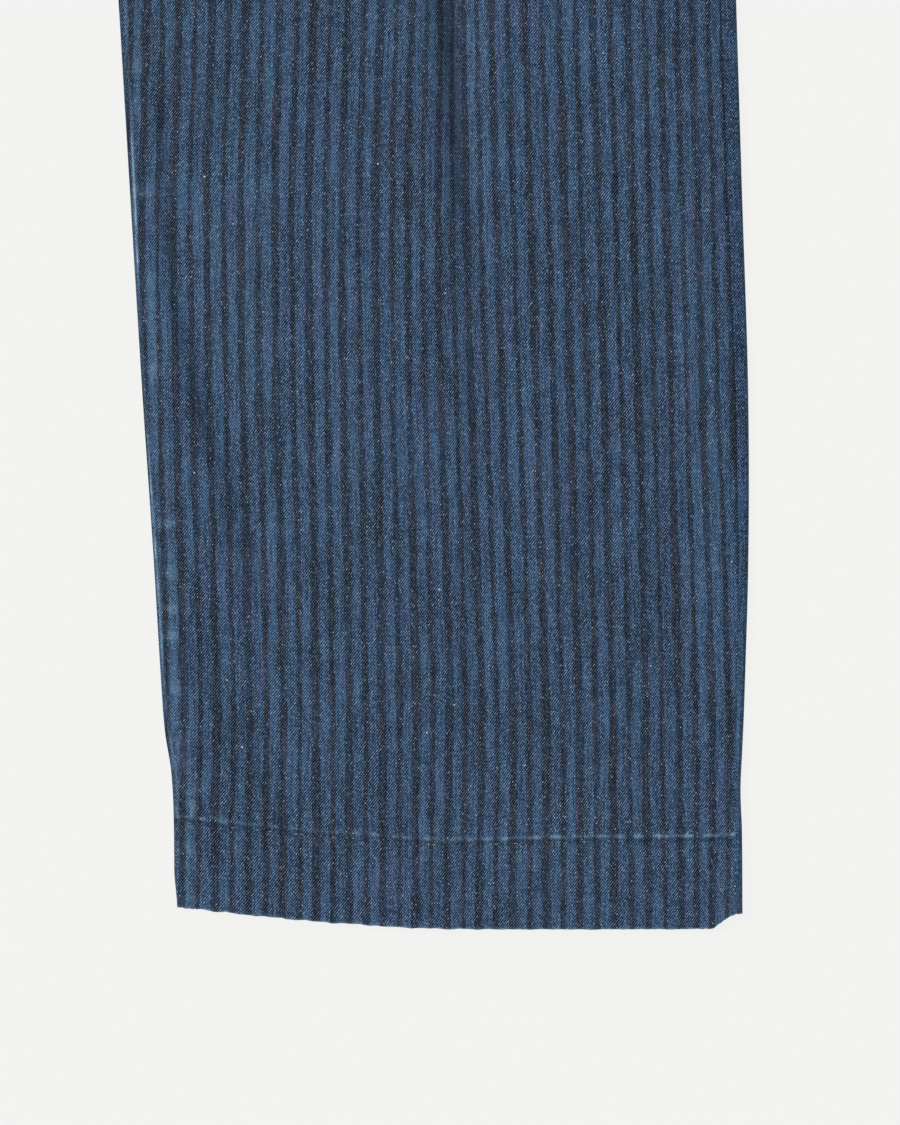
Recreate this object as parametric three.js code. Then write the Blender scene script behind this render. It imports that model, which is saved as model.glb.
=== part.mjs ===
// Striped denim work trousers, laid flat on a surface with the front side up.
// Millimetres, +Z up. +X points to the wearer's left side, +Y from the hems to the waist.
// Each piece is a wall of cloth: a grid of points on its outer face and the same grid moved inwards.
// Below, a height along the garment (v) is counted from the hem, and x from the centre line.
import * as THREE from "three";

// Driving dimensions
const INSEAM = 725; // hem to crotch
const WAIST_SEAM = 985; // hem to the seam that joins the legs to the waistband
const BAND_DEPTH = 40; // waistband
const HEM_DEPTH = 38; // turned up inside each leg
const CLOTH = 1.2; // one layer of denim
const HEM_WALL = 2.0; // panel and turned-up hem together
const BAND_WALL = 2.2; // folded waistband
const SEAM_GAP = 0.3; // between neighbouring pieces
const FRONT_DIP = 14; // the front waist sags this far at the centre
const BACK_RISE = 12; // and the back waist stands this far above its sides
const POCKET_DEPTH = 140; // from the waist seam down to the pocket's end in the outseam
const POCKET_WAIST_X = 118; // where the pocket mouth meets the waist seam
const POCKET_UNDERLAP = 14; // facing hidden under the pocket mouth
const FLY_WIDTH = 40;
const FLY_LENGTH = 165;
const FLY_LAP = 4; // the left front's fly edge passes the centre and lies on the right front
const FLY_RAISE = 0.5; // the fly stands up by this much
const LAP_DIP = 1.0; // and the right front lies down by this much beneath its edge
const UNDERLAP = 38; // right end of the waistband that passes under the left
const LOOP_WIDTH = 12;
const BUTTON_RADIUS = 8.5;
const BUTTON_HEIGHT = 2.8;

// The leg's sections: inner and outer edge, height of its rounded edges, crown of the front above
// them, and how far the back panel rolls over to the front at the outseam.
const LEG = [
  { v: 0, inner: 57.1, outer: 297.1, edge: 4.9, crown: 0.5, roll: 2.7 },
  { v: 40, inner: 56.7, outer: 296.9, edge: 4.8, crown: 0.7, roll: 2.8 },
  { v: 58, inner: 55.6, outer: 296.3, edge: 4.0, crown: 1.1, roll: 3.0 },
  { v: 75, inner: 53.0, outer: 297.1, edge: 3.6, crown: 1.3, roll: 3.3 },
  { v: 97, inner: 51.4, outer: 298.0, edge: 3.6, crown: 1.4, roll: 3.7 },
  { v: 160, inner: 47.8, outer: 299.7, edge: 3.6, crown: 1.8, roll: 4.8 },
  { v: 230, inner: 43.2, outer: 299.5, edge: 3.6, crown: 2.0, roll: 5.8 },
  { v: 310, inner: 38.3, outer: 297.0, edge: 3.6, crown: 2.2, roll: 6.6 },
  { v: 395, inner: 33.2, outer: 294.4, edge: 3.6, crown: 2.2, roll: 7.0 },
  { v: 480, inner: 28.0, outer: 292.0, edge: 3.6, crown: 2.2, roll: 7.0 },
  { v: 570, inner: 22.0, outer: 289.5, edge: 3.6, crown: 2.2, roll: 6.6 },
  { v: 650, inner: 14.5, outer: 286.5, edge: 3.7, crown: 2.1, roll: 6.2 },
  { v: 700, inner: 6.5, outer: 284.0, edge: 3.9, crown: 2.0, roll: 6.0 },
  { v: 725, inner: 0.9, outer: 282.0, edge: 4.1, crown: 1.8, roll: 5.8 },
  { v: 800, inner: 0.15, outer: 275.0, edge: 4.8, crown: 1.2, roll: 5.2 },
  { v: 870, inner: 0.15, outer: 261.0, edge: 5.0, crown: 0.9, roll: 4.6 },
  { v: 935, inner: 0.15, outer: 238.5, edge: 5.1, crown: 0.8, roll: 4.0 },
  { v: 985, inner: 0.15, outer: 214.0, edge: 5.2, crown: 0.7, roll: 3.6 },
  { v: 1025, inner: 0.15, outer: 205.0, edge: 5.4, crown: 0.5, roll: 3.4 },
];

// How far the hem's edge is lifted from its lowest point, by the share of the way across the leg.
const HEM_LIFT = [
  { across: 0, lift: 9.2 },
  { across: 0.05, lift: 8.0 },
  { across: 0.13, lift: 5.9 },
  { across: 0.22, lift: 3.8 },
  { across: 0.31, lift: 2.1 },
  { across: 0.4, lift: 0.8 },
  { across: 0.5, lift: 0 },
  { across: 0.93, lift: 0.1 },
  { across: 1, lift: 0.9 },
];
const CORNER_LIFT = 5.6; // the hem's outer corner is pulled up as well, by the outseam's bulk
const CORNER_DEPTH = 16; // over this height
const LIFT_ENDS = 230; // the hem's lift fades out at this height
const WAIST_SHAPE_FROM = 860; // above this the rows dip in front and rise behind
const CROTCH_BLEND = 60; // the legs' rounded inner edges flatten this far below and above the crotch
const FOLD_FADE = 0.125; // folds die out over this share of the leg next to its edges
const CENTRE_STEP = 0.5; // spacing of the points along the centre seams

// Soft folds in the front: each runs from one point to the other, x and v, with the width of its
// slope and its height, which is negative for a trough. A fold fades in and out over its ends.
const FOLDS = {
  left: [
    { x0: 188, v0: 60, x1: 164, v1: 640, width: 9, height: -2.7, strongest: 0.7 },
    { x0: 110, v0: 70, x1: 48, v1: 340, width: 10, height: -0.9, strongest: 0.4 },
    { x0: 88, v0: 55, x1: 62, v1: 135, width: 7, height: -0.6, strongest: 0.5 },
    { x0: 220, v0: 110, x1: 212, v1: 225, width: 9, height: 0.5, strongest: 0.5 },
    { x0: 279, v0: 200, x1: 252, v1: 375, width: 7, height: 0.6, strongest: 0.5 },
    { x0: 242, v0: 90, x1: 236, v1: 240, width: 8, height: -0.5, strongest: 0.5 },
    { x0: 70, v0: 640, x1: 250, v1: 705, width: 12, height: -1.0, strongest: 0.3 },
    { x0: 8, v0: 760, x1: 130, v1: 812, width: 10, height: -0.9, strongest: 0.3 },
  ],
  right: [
    { x0: 180, v0: 90, x1: 176, v1: 610, width: 9, height: -2.4, strongest: 0.62 },
    { x0: 96, v0: 60, x1: 52, v1: 270, width: 9, height: -0.8, strongest: 0.45 },
    { x0: 236, v0: 150, x1: 262, v1: 330, width: 9, height: -0.7, strongest: 0.5 },
    { x0: 128, v0: 230, x1: 118, v1: 420, width: 10, height: 0.5, strongest: 0.5 },
    { x0: 60, v0: 625, x1: 235, v1: 672, width: 12, height: -0.9, strongest: 0.3 },
    { x0: 12, v0: 742, x1: 150, v1: 778, width: 11, height: -1.0, strongest: 0.3 },
    { x0: 20, v0: 700, x1: 70, v1: 560, width: 9, height: -0.7, strongest: 0.4 },
  ],
};

// Rows run round the leg at these heights, closer where the form changes.
const PANEL_ROWS = [
  0, 1.2, 10, 20, 35, 38, 40, 58, 75, 95, 120, 145, 175, 205, 235, 265, 295, 325, 355, 385, 415, 445, 480,
  520, 560, 600, 635, 665, 695, 715, 725, 737, 760, 780, 797, 816, 826, 847, 856, 866, 880, 895,
  910, 925, 940, 955, 970, WAIST_SEAM - SEAM_GAP / 2,
];
const FRONT_SHARES = [
  0.07, 0.15, 0.24, 0.34, 0.43, 0.49, 0.525, 0.545, 0.565, 0.61, 0.7, 0.8, 0.9, 0.955, 1,
];
const BACK_SHARES = [0.75, 0.5, 0.25];
const QUARTER = [0, 30, 60, 90].map(THREE.MathUtils.degToRad);
const HALF = [0, 36, 72, 108, 144, 180].map(THREE.MathUtils.degToRad);

const ramp = (from, to, value) => {
  const t = THREE.MathUtils.clamp((value - from) / (to - from), 0, 1);
  return t * t * (3 - 2 * t);
};

// A smooth curve through one column of a table, read at any place along it.
function through(table, place, column) {
  const points = table.map((row) => new THREE.Vector2(row[place], row[column]));
  return (value) => {
    const last = points.length - 1;
    let i = 0;
    while (i < last - 1 && points[i + 1].x < value) i++;
    const [a, b] = [points[i], points[i + 1]];
    const before = points[Math.max(i - 1, 0)];
    const after = points[Math.min(i + 2, last)];
    const slopeA = (b.y - before.y) / (b.x - before.x);
    const slopeB = (after.y - a.y) / (after.x - a.x);
    const span = b.x - a.x;
    const t = THREE.MathUtils.clamp((value - a.x) / span, 0, 1);
    const [t2, t3] = [t * t, t * t * t];
    return (
      a.y * (2 * t3 - 3 * t2 + 1) +
      b.y * (3 * t2 - 2 * t3) +
      span * (slopeA * (t3 - 2 * t2 + t) + slopeB * (t3 - t2))
    );
  };
}
const inner = through(LEG, "v", "inner");
const outer = through(LEG, "v", "outer");
const edge = through(LEG, "v", "edge");
const crown = through(LEG, "v", "crown");
const roll = through(LEG, "v", "roll");
const hemLift = through(HEM_LIFT, "across", "lift");

const hasInseam = (v) => v <= INSEAM;
const wallAt = (v) => (v <= HEM_DEPTH ? HEM_WALL : CLOTH);
const acrossLeg = (x, v) =>
  THREE.MathUtils.clamp((x - inner(v)) / (outer(v) - inner(v)), 0, 1);

// A fold's height at a point: a soft ridge or trough about its line, strongest part-way along.
function foldHeight(fold, x, v) {
  const line = new THREE.Vector2(fold.x1 - fold.x0, fold.v1 - fold.v0);
  const from = new THREE.Vector2(x - fold.x0, v - fold.v0);
  const along = from.dot(line) / line.lengthSq();
  if (along <= 0 || along >= 1) return 0;
  const off = Math.abs(from.cross(line)) / line.length();
  const strength = ramp(0, fold.strongest, along) * ramp(1, fold.strongest, along);
  return fold.height * strength * Math.exp(-((off / fold.width) ** 2));
}

// Height of the front's upper face: rounded edges, a low crown between them, and the folds. Above
// the crotch the crown runs on to the centre.
function frontHeight(x, v, folds) {
  const s = acrossLeg(x, v);
  const bodice = ramp(INSEAM - CROTCH_BLEND, INSEAM + CROTCH_BLEND, v);
  const rounded = 1 - (2 * s - 1) ** 4;
  const open = 1 - s ** 4;
  const flat = Math.min(1, s / FOLD_FADE + bodice) * Math.min(1, (1 - s) / FOLD_FADE);
  const folded = folds.reduce((sum, fold) => sum + foldHeight(fold, x, v), 0);
  return edge(v) + crown(v) * THREE.MathUtils.lerp(rounded, open, bodice) + flat * folded;
}

// Where a row's point really lies along the garment: the hem's edge is lifted at its corners, and
// the waist sags in front and stands up behind.
function lengthAt(x, v, waistShift) {
  const s = acrossLeg(x, v);
  const hem = hemLift(s) * (1 - ramp(HEM_DEPTH, LIFT_ENDS, v));
  const corner = CORNER_LIFT * ramp(0.94, 0.99, s) * (1 - ramp(0, CORNER_DEPTH, v));
  const side = x / outer(WAIST_SEAM);
  const waist = waistShift * (1 - Math.min(1, side * side)) * ramp(WAIST_SHAPE_FROM, WAIST_SEAM, v);
  return v + hem + corner + waist;
}

const pocketMouth = (v) => {
  const end = WAIST_SEAM - POCKET_DEPTH;
  const seam = outer(end) - roll(end);
  return THREE.MathUtils.lerp(seam, POCKET_WAIST_X, (v - end) / POCKET_DEPTH);
};
const outseam = (v) => outer(v) - roll(v);

// The left front's fly stands up and the right front dips beneath it. The fly's edge passes the
// centre above the fly's end, and its raised part ends in a curve.
const FLY_END = WAIST_SEAM - FLY_LENGTH;
const lapAt = (v) => ramp(FLY_END - 24, FLY_END - 5, v);
const flyEdge = (v) => -FLY_LAP * ramp(FLY_END - 4, FLY_END + 6, v);
const flyHeight = {
  left: (x, v) => {
    const width = FLY_WIDTH * Math.sqrt(ramp(FLY_END - 30, FLY_END + 45, v));
    return FLY_RAISE * lapAt(v) * ramp(width + 10, width - 6, x);
  },
  right: (x, v) => -LAP_DIP * lapAt(v) * ramp(24, 10, x),
};

// One row of a front panel, from the inseam round its edge and across to the outseam or pocket.
function frontRow(v, side) {
  const radius = (edge(v) - SEAM_GAP) / 2;
  const isLeft = side === "left";
  const height = (x) => frontHeight(x, v, FOLDS[side]) + flyHeight[side](x, v);
  const centre = SEAM_GAP / 2 + (isLeft ? flyEdge(v) : 0);
  const rim = QUARTER.map((angle, i) =>
    hasInseam(v)
      ? [inner(v) + radius * (1 - Math.cos(angle)), radius + SEAM_GAP + radius * Math.sin(angle)]
      : [centre + CENTRE_STEP * i, height(0)],
  );
  const start = rim.at(-1)[0];
  const end = Math.min(outseam(v) - SEAM_GAP / 2, pocketMouth(v));
  const face = FRONT_SHARES.map((share) => {
    const x = THREE.MathUtils.lerp(start, end, share);
    return [x, height(x)];
  });
  return [...rim, ...face].map(([x, z]) => new THREE.Vector3(x, lengthAt(x, v, -FRONT_DIP), z));
}

// One row of a back panel, from the outseam on the upper side, round the outer edge, along the
// underside and up to the inseam or the centre back seam.
function backRow(v) {
  const radius = edge(v) / 2;
  const bend = outer(v) - radius;
  const top = [[outseam(v) + SEAM_GAP / 2, edge(v)]];
  const rim = HALF.map((angle) => [bend + radius * Math.sin(angle), radius * (1 + Math.cos(angle))]);
  const innerRadius = (edge(v) - SEAM_GAP) / 2;
  const close = hasInseam(v) ? inner(v) + innerRadius : SEAM_GAP / 2 + 3 * CENTRE_STEP;
  const under = BACK_SHARES.map((share) => [THREE.MathUtils.lerp(close, bend, share), 0]);
  const end = QUARTER.map((angle, i) =>
    hasInseam(v)
      ? [close - innerRadius * Math.sin(angle), innerRadius * (1 - Math.cos(angle))]
      : [close - CENTRE_STEP * i, 0],
  );
  return [...top, ...rim, ...under, ...end].map(([x, z]) => {
    const shift = THREE.MathUtils.lerp(BACK_RISE, -FRONT_DIP, ramp(0, edge(v), z));
    return new THREE.Vector3(x, lengthAt(x, v, shift), z);
  });
}

// A line of points' direction at one of them. At the ends it leans the way the line bends there.
function direction(points, i) {
  const last = points.length - 1;
  if (i > 0 && i < last) return points[i + 1].clone().sub(points[i - 1]);
  const [a, b, c] = i === 0 ? points.slice(0, 3) : points.slice(-3).reverse();
  const [near, next] = [b.clone().sub(a), c.clone().sub(b)];
  const lean = near.length() / (near.length() + next.length());
  const ahead = near.normalize().multiplyScalar(1 + lean).addScaledVector(next.normalize(), -lean);
  return i === 0 ? ahead : ahead.negate();
}

// The grid's normal at a point, from its neighbours along the row and between the rows.
function outward(grid, r, c) {
  const column = grid.map((row) => row[c]);
  return direction(grid[r], c).cross(direction(column, r)).normalize();
}

// A closed wall of cloth on a grid of outer points. thicknessAt gives each row's thickness, and
// foldedEdge rounds the first row over, as a hem's fold does.
function clothWall(grid, thicknessAt, foldedEdge = false) {
  const [rows, columns] = [grid.length, grid[0].length];
  const outside = [];
  const inside = [];
  grid.forEach((row, r) =>
    row.forEach((point, c) => {
      const normal = outward(grid, r, c);
      const tuck = foldedEdge && r === 0 ? thicknessAt(r) / 4 : 0;
      outside.push(point.clone().addScaledVector(normal, -tuck));
      inside.push(point.clone().addScaledVector(normal, tuck - thicknessAt(r)));
    }),
  );
  const shift = rows * columns;
  const at = (r, c) => r * columns + c;
  const faces = [];
  const quad = (a, b, c, d) => faces.push(a, b, c, a, c, d);
  for (let r = 0; r < rows - 1; r++)
    for (let c = 0; c < columns - 1; c++) {
      const corners = [at(r, c), at(r, c + 1), at(r + 1, c + 1), at(r + 1, c)];
      quad(...corners);
      quad(...corners.map((i) => i + shift).reverse());
    }
  for (let c = 0; c < columns - 1; c++) {
    quad(at(0, c + 1), at(0, c), at(0, c) + shift, at(0, c + 1) + shift);
    const r = rows - 1;
    quad(at(r, c), at(r, c + 1), at(r, c + 1) + shift, at(r, c) + shift);
  }
  for (let r = 0; r < rows - 1; r++) {
    const c = columns - 1;
    quad(at(r, 0), at(r + 1, 0), at(r + 1, 0) + shift, at(r, 0) + shift);
    quad(at(r + 1, c), at(r, c), at(r, c) + shift, at(r + 1, c) + shift);
  }
  const geometry = new THREE.BufferGeometry().setFromPoints([...outside, ...inside]);
  geometry.setIndex(faces);
  geometry.computeVertexNormals();
  return geometry;
}

// The same grid on the other side of the centre line, with its columns turned round so that its
// outer face stays outside.
const mirrored = (grid) =>
  grid.map((row) => row.map((p) => new THREE.Vector3(-p.x, p.y, p.z)).reverse());
const onSide = (side, grid) => (side === "left" ? grid : mirrored(grid));

const denim = new THREE.MeshStandardMaterial({ color: 0x3b5069, roughness: 0.9, metalness: 0 });
const darkDenim = new THREE.MeshStandardMaterial({ color: 0x35475f, roughness: 0.9, metalness: 0 });
const brass = new THREE.MeshStandardMaterial({ color: 0x6f5b3c, roughness: 0.45, metalness: 1 });

const trousers = new THREE.Group();
function addPiece(name, geometry, material = denim) {
  const piece = new THREE.Mesh(geometry, material);
  piece.name = name;
  trousers.add(piece);
  return piece;
}

// Leg panels
const panelWall = (row) => wallAt(PANEL_ROWS[row]);
for (const side of ["left", "right"]) {
  const front = PANEL_ROWS.map((v) => frontRow(v, side));
  const back = PANEL_ROWS.map(backRow);
  addPiece(`front_${side}`, clothWall(onSide(side, front), panelWall, true));
  addPiece(`back_${side}`, clothWall(onSide(side, back), panelWall, true));
}

// Hip pieces that show in the pocket mouths: under the front's edge, and level with it at the outseam.
const FACING_ROWS = PANEL_ROWS.filter((v) => v > WAIST_SEAM - POCKET_DEPTH);
const FACING_SHARES = [0, 0.16, 0.34, 0.56, 0.78, 1];
function facingRow(v, folds) {
  const mouth = pocketMouth(v);
  const start = mouth + SEAM_GAP;
  const end = outseam(v) - SEAM_GAP / 2;
  const open = FACING_SHARES.map((share) => THREE.MathUtils.lerp(start, end, share));
  return [mouth - POCKET_UNDERLAP, mouth - POCKET_UNDERLAP / 2, ...open].map((x) => {
    const covered = 1 - ramp(start, mouth + 9, x);
    const z = frontHeight(x, v, folds) - (CLOTH + SEAM_GAP) * covered;
    return new THREE.Vector3(x, lengthAt(x, v, -FRONT_DIP), z);
  });
}
for (const side of ["left", "right"]) {
  const facing = FACING_ROWS.map((v) => facingRow(v, FOLDS[side]));
  addPiece(`pocket_facing_${side}`, clothWall(onSide(side, facing), () => CLOTH), darkDenim);
}

// Waistband: the front halves lie on the back half and meet it at half height round the sides. The
// right end dives under the left one, which rises over it.
const BAND_TOP = 5.9; // height of the front half's upper face
const UNDERLAP_TOP = 2 * BAND_WALL + SEAM_GAP; // the hidden end lies on the back half
const OVERLAP_TOP = UNDERLAP_TOP + SEAM_GAP + BAND_WALL;
const BAND_ROWS = [SEAM_GAP / 2, 3, 20, 37, BAND_DEPTH].map((rise) => WAIST_SEAM + rise);
const BAND_RADIUS = (BAND_TOP - SEAM_GAP) / 2;
// Columns of points from each half's end to its side, measured from the centre towards that side
const BAND_COLUMNS = {
  left: [-FLY_LAP, 10, 25, UNDERLAP + 4, 54, 66, 84, 112, 145, 178],
  right: [-UNDERLAP, -18, -FLY_LAP, FLY_LAP + 2, 12, 20, 50, 84, 112, 145, 178],
};
const bandHeight = {
  left: (x) => THREE.MathUtils.lerp(OVERLAP_TOP, BAND_TOP, ramp(UNDERLAP + 4, 66, x)),
  right: (x) => THREE.MathUtils.lerp(UNDERLAP_TOP, BAND_TOP, ramp(FLY_LAP + 2, 20, x)),
};
function bandFrontRow(v, side) {
  const end = outer(v) - BAND_RADIUS;
  const face = [...BAND_COLUMNS[side], end].map((x) => [x, bandHeight[side](x)]);
  const rim = QUARTER.slice(1).map((angle) => [
    end + BAND_RADIUS * Math.sin(angle),
    BAND_RADIUS * (1 + Math.cos(angle)) + SEAM_GAP,
  ]);
  return [...face, ...rim].map(([x, z]) => new THREE.Vector3(x, lengthAt(Math.abs(x), v, -FRONT_DIP), z));
}
const bandLeft = BAND_ROWS.map((v) => bandFrontRow(v, "left"));
const bandRight = BAND_ROWS.map((v) => bandFrontRow(v, "right"));
addPiece("waistband_left", clothWall(bandLeft, () => BAND_WALL));
addPiece("waistband_right", clothWall(mirrored(bandRight), () => BAND_WALL));

const bandBack = BAND_ROWS.map((v) => {
  const end = outer(v) - BAND_RADIUS;
  const rim = QUARTER.slice(1).map((angle) => [
    end + BAND_RADIUS * Math.sin(angle),
    BAND_RADIUS * (1 - Math.cos(angle)),
  ]);
  const half = [...BACK_SHARES.map((share) => [share * end, 0]).reverse(), [end, 0], ...rim];
  const row = [...half.map(([x, z]) => [-x, z]).reverse(), [0, 0], ...half];
  const points = row.map(([x, z]) => new THREE.Vector3(x, lengthAt(Math.abs(x), v, BACK_RISE), z));
  return points.reverse(); // the outer face is the underside
});
addPiece("waistband_back", clothWall(bandBack, () => BAND_WALL));

// Belt loops: strips that lie on the band and are caught below its seam and over its upper edge.
const LOOP_PLACES = [-182, -84, 84, 182];
const LOOP_ROWS = [-14, -6, -1, 4, 20, 36, BAND_DEPTH + 0.5];
LOOP_PLACES.forEach((place, i) => {
  const side = place > 0 ? "left" : "right";
  const grid = LOOP_ROWS.map((rise) => {
    const v = WAIST_SEAM + rise;
    return [-0.5, -0.17, 0.17, 0.5].map((share) => {
      const x = place + share * LOOP_WIDTH;
      const panel = frontHeight(Math.abs(x), WAIST_SEAM, FOLDS[side]);
      const band = bandHeight[side](Math.abs(place) - LOOP_WIDTH);
      const under = THREE.MathUtils.lerp(panel, Math.max(panel, band), ramp(-8, -2, rise));
      return new THREE.Vector3(x, lengthAt(Math.abs(x), v, -FRONT_DIP), under + SEAM_GAP + CLOTH);
    });
  });
  addPiece(`belt_loop_${i + 1}`, clothWall(grid, () => CLOTH));
});

// Waist button: a turned metal cap with a raised rim and a dished face.
const BUTTON_X = 13;
const rim = BUTTON_RADIUS;
const high = BUTTON_HEIGHT;
const buttonProfile = [
  [0, 0],
  [rim - 0.9, 0],
  [rim - 0.2, 0.7],
  [rim, high - 1.1],
  [rim - 0.5, high - 0.3],
  [rim - 1.3, high],
  [rim - 2.2, high - 0.3],
  [rim - 2.8, high - 0.8],
  [0, high - 0.8],
].map(([r, z]) => new THREE.Vector2(r, z));
const buttonShape = new THREE.LatheGeometry(buttonProfile, 24).rotateX(Math.PI / 2);
const button = addPiece("waist_button", buttonShape, brass);
const buttonY = lengthAt(BUTTON_X, WAIST_SEAM + BAND_DEPTH / 2, -FRONT_DIP);
button.position.set(BUTTON_X, buttonY, OVERLAP_TOP + SEAM_GAP);

// The origin is the middle of the garment's outline, on the surface that it lies on.
const LENGTH = WAIST_SEAM + BAND_DEPTH + BACK_RISE;
trousers.position.y = -LENGTH / 2;
const part = new THREE.Group().add(trousers);

export default part;
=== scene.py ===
import math
from types import SimpleNamespace

import bmesh
import bpy
from mathutils import Matrix, Vector, noise


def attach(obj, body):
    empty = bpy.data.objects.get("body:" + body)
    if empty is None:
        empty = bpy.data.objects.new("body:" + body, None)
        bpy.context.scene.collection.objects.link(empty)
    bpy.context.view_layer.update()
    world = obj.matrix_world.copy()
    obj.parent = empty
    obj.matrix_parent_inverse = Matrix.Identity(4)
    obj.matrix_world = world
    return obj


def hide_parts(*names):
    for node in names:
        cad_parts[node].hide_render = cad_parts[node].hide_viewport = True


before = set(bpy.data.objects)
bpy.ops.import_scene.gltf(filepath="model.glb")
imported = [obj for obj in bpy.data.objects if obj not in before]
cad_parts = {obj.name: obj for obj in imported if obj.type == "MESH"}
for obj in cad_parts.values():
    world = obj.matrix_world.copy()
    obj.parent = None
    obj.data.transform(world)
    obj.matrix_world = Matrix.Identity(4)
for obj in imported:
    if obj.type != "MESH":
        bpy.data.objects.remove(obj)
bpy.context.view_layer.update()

# Front leg panels. Each is one piece of washed indigo twill with dark warp stripes, wrapped round
# the inseam and lying on the back panel. Its hem is turned up inside by 38 mm.
MM = 0.001
INSEAM = 725.0
WAIST_SEAM = 985.0
BAND_DEPTH = 40.0
HEM_DEPTH = 38.0
CLOTH = 1.2
HEM_WALL = 2.0
SEAM_GAP = 0.3
FRONT_DIP = 14.0
BACK_RISE = 12.0
GARMENT_LENGTH = WAIST_SEAM + BAND_DEPTH + BACK_RISE
PANEL_TOP = WAIST_SEAM - SEAM_GAP / 2
CROTCH_EASE = 12.0
TOUCH = 0.01
HALF_WAIST = 214.0
FLY_END = WAIST_SEAM - 165
FLY_WIDTH = 40.0
FLY_LAP = 4.0
POCKET_END = WAIST_SEAM - 140
POCKET_INNER = 118.0
MOUTH_SLANT = 0.7
MOUTH_SEWN = (2.4, 8.4)

# The leg's sections by height above the hem: its edges, the height of its rounded edges, the crown
# between them, the back's roll onto the front, the wander of the grain and the cloth in the main fold
LEG_COLUMNS = "v inner outer edge crown roll sway tuck".split()
LEG = [
    (0, 57.1, 297.1, 4.9, 0.5, 2.7, 0.9, 0.9),
    (40, 56.7, 296.9, 4.8, 0.7, 2.8, 1.5, 1.0),
    (58, 55.6, 296.3, 4.0, 1.1, 3.0, 1.9, 1.1),
    (75, 53.0, 297.1, 3.6, 1.3, 3.3, 2.1, 1.2),
    (97, 51.4, 298.0, 3.6, 1.4, 3.7, 2.0, 1.4),
    (160, 47.8, 299.7, 3.6, 1.8, 4.8, 0.6, 2.2),
    (230, 43.2, 299.5, 3.6, 2.0, 5.8, -1.5, 2.8),
    (310, 38.3, 297.0, 3.6, 2.2, 6.6, -2.3, 4.4),
    (395, 33.2, 294.4, 3.6, 2.2, 7.0, 0.1, 9.3),
    (480, 28.0, 292.0, 3.6, 2.2, 7.0, 1.0, 10.5),
    (570, 22.0, 289.5, 3.6, 2.2, 6.6, 0.5, 5.0),
    (650, 14.5, 286.5, 3.7, 2.1, 6.2, 0.0, 0.5),
    (700, 6.5, 284.0, 3.9, 2.0, 6.0, 0.0, 0.0),
    (725, 0.9, 282.0, 4.1, 1.8, 5.8, 0.0, 0.0),
    (800, 0.15, 275.0, 4.8, 1.2, 5.2, 0.0, 0.0),
    (870, 0.15, 261.0, 5.0, 0.9, 4.6, 0.0, 0.0),
    (935, 0.15, 238.5, 5.1, 0.8, 4.0, 0.0, 0.0),
    (985, 0.15, 214.0, 5.2, 0.7, 3.6, 0.0, 0.0),
    (1025, 0.15, 205.0, 5.4, 0.5, 3.4, 0.0, 0.0),
]
HEM_LIFT_COLUMNS = ["across", "lift"]
HEM_LIFT = [
    (0, 9.2), (0.05, 8.0), (0.13, 5.9), (0.22, 3.8), (0.31, 2.1), (0.4, 0.8), (0.5, 0), (0.93, 0.1),
    (1, 0.9),
]
# Soft folds: a line from one point to another, the width of its slope, its height and where along
# it is strongest
FOLD_COLUMNS = "x0 v0 x1 v1 width height strongest".split()
FOLDS = {
    "left": [
        (188, 60, 164, 640, 9, -2.7, 0.7),
        (110, 70, 48, 340, 10, -0.9, 0.4),
        (88, 55, 62, 135, 7, -0.6, 0.5),
        (220, 110, 212, 225, 9, 0.5, 0.5),
        (279, 200, 252, 375, 7, 0.6, 0.5),
        (242, 90, 236, 240, 8, -0.5, 0.5),
        (70, 640, 250, 705, 12, -1.0, 0.3),
        (8, 760, 130, 812, 10, -0.9, 0.3),
    ],
    "right": [
        (180, 90, 176, 610, 9, -2.4, 0.62),
        (96, 60, 52, 270, 9, -0.8, 0.45),
        (236, 150, 262, 330, 9, -0.7, 0.5),
        (128, 230, 118, 420, 10, 0.5, 0.5),
        (60, 625, 235, 672, 12, -0.9, 0.3),
        (12, 742, 150, 778, 11, -1.0, 0.3),
        (20, 700, 70, 560, 9, -0.7, 0.4),
    ],
}


def ramp(low, high, value):
    t = min(1.0, max(0.0, (value - low) / (high - low)))
    return t * t * (3 - 2 * t)


def lerp(a, b, t):
    return a + (b - a) * t


def through(table, columns, value):
    """The table's columns at one height, on smooth curves through its rows."""
    last = len(table) - 1
    i = 0
    while i < last - 1 and table[i + 1][0] < value:
        i += 1
    before, a, b, after = table[max(i - 1, 0)], table[i], table[i + 1], table[min(i + 2, last)]
    span = b[0] - a[0]
    t = min(1.0, max(0.0, (value - a[0]) / span))
    found = {columns[0]: value}
    for k in range(1, len(columns)):
        slope_a = (b[k] - before[k]) / (b[0] - before[0])
        slope_b = (after[k] - a[k]) / (after[0] - a[0])
        found[columns[k]] = (
            a[k] * (2 * t**3 - 3 * t**2 + 1)
            + b[k] * (3 * t**2 - 2 * t**3)
            + span * (slope_a * (t**3 - 2 * t**2 + t) + slope_b * (t**3 - t**2))
        )
    return SimpleNamespace(**found)


def records(rows, columns):
    """The rows of a table as objects with named fields."""
    return [SimpleNamespace(**dict(zip(columns, row))) for row in rows]


def leg_at(v):
    """The leg's section at a height. The hem's inner corner is drawn in a little."""
    row = through(LEG, LEG_COLUMNS, v)
    row.inner += 1.1 * ramp(16, 0, v)
    row.outseam = row.outer - row.roll
    row.bodice = ramp(INSEAM - 60, INSEAM + 60, v)
    row.waist = ramp(860, WAIST_SEAM, v)
    return row


def opened_at(v):
    """How far the round of a leg has opened into the seat, from 0 at the crotch to 1."""
    return min(1.0, max(0.0, (v - INSEAM) / CROTCH_EASE))


def bell(value, width):
    return math.exp(-((value / width) ** 2))


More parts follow.
